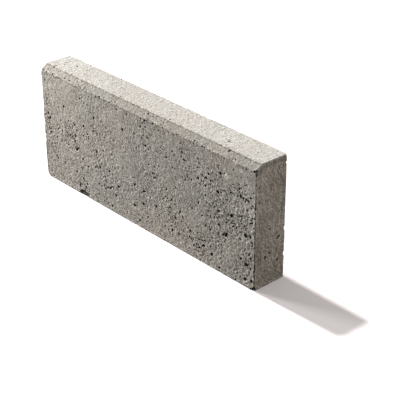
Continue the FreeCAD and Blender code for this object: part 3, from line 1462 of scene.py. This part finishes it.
    def paste_colour(self, g: Graph, place: Term, skin: Term, masks: dict[Mask, Value]) -> Value:
        """Mixes the colour of every side from the finishes, with painted light on the top, the chamfer, the
        thick pores and one patch, and painted shade on the left end, before painted shade darkens the
        hollows.

        Args:
            g: The material's graph.
            place: Where on the block a point lies.
            skin: How high the sandy skin stands there.
            masks: The numbers that the mesh keeps.

        Returns:
            The colour.
        """
        half = self.shape.length / 2
        along = g.split(place)[0]
        # Painted light: paler paste where pores lie thick, but not at the arrises
        off_arris = g.span(masks[Mask.ARRIS], *self.PASTE_OFF_ARRIS)
        paste = g.span(masks[Mask.DENSITY], 0.0, 1.0, 1.0, self.PASTE_PAINTED_LIGHT)
        paste = g.mix("FLOAT", off_arris, 1.0, paste)
        colour = g.scale(self.side_colour(g, place, skin, MOULDED), paste)
        # Painted light: the chamfer's tone falls from its left end towards the middle
        painted_falloff = g.span(along, *self.CHAMFER_FADE, *self.CHAMFER_PAINTED_FALLOFF)
        chamfer = g.scale(self.side_colour(g, place, skin, CHAMFERED), painted_falloff)
        colour = g.mix("RGBA", masks[Mask.CHAMFER], colour, chamfer)
        # Painted shade: the left end is darker than the right, against the fill lamp's light
        shade = g.span(along, -half, half, *self.LEFT_END_PAINTED_SHADE)
        end = g.scale(self.side_colour(g, place, skin, END_FACE), shade)
        colour = g.mix("RGBA", masks[Mask.END], colour, end)
        # The top's paler colour is partly painted light from above
        colour = g.mix("RGBA", masks[Mask.TOP], colour, self.side_colour(g, place, skin, STRUCK_TOP_WITH_PAINTED_LIGHT))
        # Pale and dark patches of tone, with painted light in the wide patch at the top left
        patchy = g.added(place, -self.shape.thickness / 2, PALE_AND_PAINTED_LIGHT_PATCHES, 1.0)
        return g.scale(colour, patchy * (1.0 - self.lines(g, place)))

    def write(self, g: Graph) -> None:
        """Writes the material's nodes.

        Args:
            g: The graph that the nodes go into.
        """
        masks = {}
        for mask in Mask:
            output = "Vector" if mask is Mask.PLACE else "Fac"
            masks[mask] = g.take("ShaderNodeAttribute", None, output, attribute_name=mask.value)
        place, arris, cone = masks[Mask.PLACE], masks[Mask.ARRIS], masks[Mask.HOLLOW]
        inputs = {"Place": place, "Density": masks[Mask.DENSITY], "Cone": cone}
        grit = g.add("ShaderNodeGroup", inputs, node_tree=self.grit).outputs
        colour = self.paste_colour(g, place, grit["Skin"], masks)
        rubbed = arris * g.cloud(place, self.RUB, 0.0, self.RUB_PALE)
        # Painted highlight: a pale ring round each hollow's rim, weaker near the arrises; the rubbed
        # arrises are wear
        rim = g.span(cone, *self.HIGHLIGHT_RIM_OUTSIDE) * g.span(cone, *self.HIGHLIGHT_RIM_INSIDE)
        rim = rim * g.span(arris, *self.HIGHLIGHT_RIM_AT_ARRIS)
        colour = g.mix("RGBA", g.most(rubbed, rim), colour, (*self.RUBBED_AND_RIM_HIGHLIGHT_COLOUR, 1))
        # Painted shade: the hollows' cones and the fine pores darken the colour towards near black, less on
        # the ends
        hollow = g.most(g.span(cone, *self.DEEP_PAINTED_SHADE), masks[Mask.BAND] * self.BAND_DARK)
        hollow = g.most(hollow, Value(g, grit["Hole"]) * self.FINE_PORE_PAINTED_SHADE)
        hollow = hollow * g.span(masks[Mask.END], 0.0, 1.0, 1.0, self.END_PORE_PAINTED_SHADE_SHARE)
        colour = g.mix("RGBA", hollow, colour, (*self.HOLLOW_SHADE_AND_BAND_COLOUR, 1))
        depth = masks[Mask.OPENNESS] * self.GRIT_DEPTH
        relief = {"Strength": 1.0, "Distance": depth, "Height": grit["Height"]}
        shader = g.take("ShaderNodeBsdfPrincipled", {
            "Base Color": colour,
            "Roughness": g.cloud(place, self.ROUGHNESS_CLOUD, *self.ROUGHNESS),
            "Normal": g.take("ShaderNodeBump", relief),
            "Specular IOR Level": self.SHINE,
        })
        g.add("ShaderNodeOutputMaterial", {"Surface": shader})


@dataclass
class Kerb:
    """The kerb itself: one cast block that stands for the CAD node of the same name."""

    node: str = "kerb"
    body: str = "root"
    finish_slot: str = "concrete"
    mesh_step: float = 0.8 * MM
    quick_step: float = 1.6 * MM
    triangles: int = 190_000
    crease: float = math.radians(48)
    shape: KerbShape = field(init=False)

    def __post_init__(self) -> None:
        """Takes the block's sizes from the frame."""
        self.shape = KerbShape.from_frame(self.node)

    def hollow_points(self) -> bpy.types.Object:
        """Makes an object whose points are the known hollows, with their sizes as attributes.

        Returns:
            The object, which becomes the kerb.
        """
        hollows = (*BLOW_HOLES, *CREVICES, *CHIPS)
        mesh = bpy.data.meshes.new("kerb_hollows")
        mesh.from_pydata([self.shape.spot(h) for h in hollows], [], [])
        numbers = {
            "size": [h.radius * MM for h in hollows],
            "depth": [h.depth * MM for h in hollows],
            "stretch": [h.stretch for h in hollows],
        }
        for name, values in numbers.items():
            mesh.attributes.new(name, "FLOAT", "POINT").data.foreach_set("value", values)
        grains = [part for h in hollows for part in self.grain(h)]
        mesh.attributes.new("grain", "FLOAT_VECTOR", "POINT").data.foreach_set("vector", grains)
        points = bpy.data.objects.new("kerb_concrete", mesh)
        bpy.context.scene.collection.objects.link(points)
        return points

    @staticmethod
    def grain(hollow: Hollow) -> Vector:
        """Returns the direction in which a hollow is long."""
        along, up = (Vector(axis) for axis in hollow.side.value[1:])
        turn = math.radians(hollow.slant)
        return along * math.cos(turn) + up * math.sin(turn)

    def build(self, concrete: CastConcrete) -> bpy.types.Object:
        """Builds the block, thins its mesh where it is plain and hands it to the frame.

        Args:
            concrete: The material that it is made of.

        Returns:
            The finished piece.
        """
        piece = self.hollow_points()
        surface = KerbSurface(self.shape, self.mesh_step)
        modifier = piece.modifiers.new("surface", "NODES")
        modifier.node_group = surface.tree
        for name, value in surface.values.items():
            modifier[surface.sockets[name]] = value
        modifier[surface.sockets["Concrete"]] = concrete.material
        self.apply(piece, modifier)
        fine = self.count_triangles(piece)
        if fine > self.triangles:
            thin = piece.modifiers.new("thin", "DECIMATE")
            thin.ratio = self.triangles / fine
            self.apply(piece, thin)
        self.hold_inside(piece)
        piece.data.set_sharp_from_angle(angle=self.crease)
        LOG.info("%s: %d triangles from %d", piece.name, self.count_triangles(piece), fine)
        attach(piece, self.body)
        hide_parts(self.node)
        return piece

    def hold_inside(self, piece: bpy.types.Object) -> None:
        """Brings the few points that thinning pushed out back onto the CAD block's box."""
        low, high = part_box(self.node)
        for point in piece.data.vertices:
            point.co = [min(max(part, least), most) for part, least, most in zip(point.co, low, high)]

    @staticmethod
    def apply(piece: bpy.types.Object, modifier: bpy.types.Modifier) -> None:
        """Turns what the modifier gives into the piece's own plain mesh.

        Args:
            piece: The piece.
            modifier: Its only modifier.
        """
        evaluated = piece.evaluated_get(bpy.context.evaluated_depsgraph_get())
        mesh = bpy.data.meshes.new_from_object(evaluated)
        piece.modifiers.remove(modifier)
        piece.data = mesh

    @staticmethod
    def count_triangles(piece: bpy.types.Object) -> int:
        """Returns how many triangles the piece's faces make."""
        return sum(len(face.vertices) - 2 for face in piece.data.polygons)


@dataclass(frozen=True)
class SoftLamp:
    """A square lamp that hangs near the kerb and points at a spot on it."""

    name: str
    power: float
    place: Spot
    aim: Spot
    size: float = 0.5


SOFT_LAMPS = (
    SoftLamp("fill_before_left_end", power=44.6, place=(-1.72, -0.66, 0.42), aim=(0.0, 0.0, 0.1)),
    SoftLamp("weak_behind_right_end", power=6.5, place=(0.75, 1.0, 0.5), aim=(0.25, 0.0, 0.1)),
)


@dataclass
class Studio:
    """A white floor, one lamp that gives the shadow, soft light all round, and the camera."""

    floor_size: float = 12.0
    floor_seen: Colour = (0.96, 0.897, 0.882)
    floor_bounce: Colour = (0.25, 0.25, 0.25)
    sun_height: float = 50.6
    sun_turn: float = 1.5
    sun_strength: float = 3.22
    sun_softness: float = 3.0
    sky_strength: float = 0.315
    camera_turn: float = 47.95
    camera_height: float = 28.21
    camera_roll: float = -0.14
    camera_distance: float = 1.818
    camera_aim: Spot = (0.1023, 0.0, 0.0793)
    lens: float = 109.54
    sensor: float = 36.0

    def build(self) -> None:
        """Sets up everything round the object."""
        self.floor()
        self.sun()
        for soft in SOFT_LAMPS:
            self.soft_lamp(soft)
        self.sky()
        self.camera()
        bpy.context.scene.view_settings.view_transform = "Standard"

    def floor(self) -> None:
        """Lays the floor, which looks white and keeps the shadow."""
        half = self.floor_size / 2
        mesh = bpy.data.meshes.new("studio_floor")
        corners = [(-half, -half, 0), (half, -half, 0), (half, half, 0), (-half, half, 0)]
        mesh.from_pydata(corners, [], [(0, 1, 2, 3)])
        floor = bpy.data.objects.new("studio_floor", mesh)
        bpy.context.scene.collection.objects.link(floor)
        material = bpy.data.materials.new("white_floor")
        material.use_nodes = True
        tree = material.node_tree
        tree.nodes.clear()
        g = Graph(tree)
        seen = g.take("ShaderNodeBsdfDiffuse", {"Color": (*self.floor_seen, 1)})
        bounced = g.take("ShaderNodeBsdfDiffuse", {"Color": (*self.floor_bounce, 1)})
        ray = g.take("ShaderNodeLightPath", None, "Is Camera Ray")
        shader = g.take("ShaderNodeMixShader", {0: ray, 1: bounced, 2: seen})
        g.add("ShaderNodeOutputMaterial", {"Surface": shader})
        mesh.materials.append(material)

    def lamp(self, name: str, kind: str, place: Vector, aim: Vector) -> bpy.types.Light:
        """Hangs a lamp that points at a target.

        Args:
            name: What the lamp is called.
            kind: SUN or AREA.
            place: Where it hangs.
            aim: The target.

        Returns:
            The lamp's light.
        """
        light = bpy.data.lights.new(name, kind)
        lamp = bpy.data.objects.new(name, light)
        lamp.location = place
        lamp.rotation_mode = "QUATERNION"
        lamp.rotation_quaternion = (aim - place).to_track_quat("-Z", "Y")
        bpy.context.scene.collection.objects.link(lamp)
        return light

    def sun(self) -> None:
        """Hangs the lamp that throws the shadow past the right end."""
        height, turn = math.radians(self.sun_height), math.radians(self.sun_turn)
        flat = math.cos(height)
        place = Vector((-flat * math.cos(turn), -flat * math.sin(turn), math.sin(height)))
        light = self.lamp("sun", "SUN", place, Vector())
        light.energy = self.sun_strength
        light.angle = math.radians(self.sun_softness)

    def soft_lamp(self, soft: SoftLamp) -> None:
        """Hangs one of the soft lamps.

        Args:
            soft: The lamp's place, size and power.
        """
        light = self.lamp(soft.name, "AREA", Vector(soft.place), Vector(soft.aim))
        light.shape = "SQUARE"
        light.size = soft.size
        light.energy = soft.power

    def sky(self) -> None:
        """Lights the scene evenly, and shows the camera plain white."""
        world = bpy.data.worlds.new("studio_sky")
        bpy.context.scene.world = world
        world.use_nodes = True
        tree = world.node_tree
        tree.nodes.clear()
        g = Graph(tree)
        path = g.add("ShaderNodeLightPath").outputs
        mirrored = g.most(path["Is Glossy Ray"], path["Is Transmission Ray"])
        seen = g.most(path["Is Camera Ray"], mirrored)
        soft = g.take("ShaderNodeBackground", {"Color": (1, 1, 1, 1), "Strength": self.sky_strength})
        white = g.take("ShaderNodeBackground", {"Color": (1, 1, 1, 1), "Strength": 1.0})
        shader = g.take("ShaderNodeMixShader", {0: seen, 1: soft, 2: white})
        g.add("ShaderNodeOutputWorld", {"Surface": shader})

    def camera(self) -> None:
        """Sets the camera where the photograph was taken from."""
        turn, height = math.radians(self.camera_turn), math.radians(self.camera_height)
        flat = math.cos(height)
        back = Vector((math.sin(turn) * flat, -math.cos(turn) * flat, math.sin(height)))
        data = bpy.data.cameras.new("photo_camera")
        data.lens = self.lens
        data.sensor_width = self.sensor
        camera = bpy.data.objects.new("photo_camera", data)
        camera.location = Vector(self.camera_aim) + back * self.camera_distance
        camera.rotation_mode = "QUATERNION"
        roll = Quaternion((0, 0, 1), math.radians(self.camera_roll))
        camera.rotation_quaternion = (-back).to_track_quat("-Z", "Y") @ roll
        bpy.context.scene.collection.objects.link(camera)
        bpy.context.scene.camera = camera


def main() -> None:
    """Builds the studio and the kerb."""
    logging.basicConfig(level=logging.INFO, format="%(name)s: %(message)s")
    Studio().build()
    LOG.info("studio ready")
    kerb = Kerb()
    concrete = CastConcrete(kerb.shape)
    LOG.info("%s mixed", concrete.material.name)
    piece = kerb.build(concrete)
    LOG.info("%s stands", piece.name)


if __name__ == "__main__":
    main()
